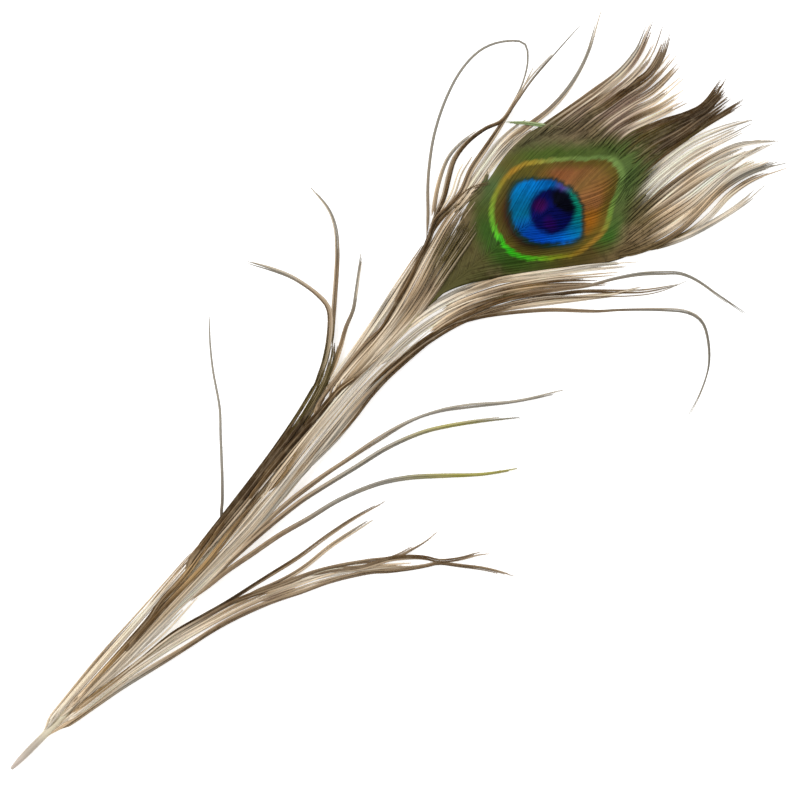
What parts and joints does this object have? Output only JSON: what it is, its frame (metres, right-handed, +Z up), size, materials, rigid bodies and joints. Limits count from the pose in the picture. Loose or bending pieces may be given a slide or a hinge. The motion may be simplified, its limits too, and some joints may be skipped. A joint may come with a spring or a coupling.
{
  "type": "peacock feather",
  "caption": "Short peacock tail feather lying face up: a bare quill, a woven eye with blue, bronze and green rings, a frayed crown and loose curling barbs.",
  "frame": {"origin": "on the table, under the middle of the feather's box", "axes": "+X from the tip of the quill towards the crown past the eye, +Y to the feather's left seen from above, +Z up, out of the feather's face"},
  "size_m": [0.2832, 0.1208, 0.0086],
  "materials": {
    "quill": "satin",
    "eye": "satin",
    "barbs": "matte"
  },
  "bodies": {
    "root": {"shaft": "quill", "eye_vane": "eye", "left_barbs": "barbs", "right_barbs": "barbs"}
  },
  "joints": []
}
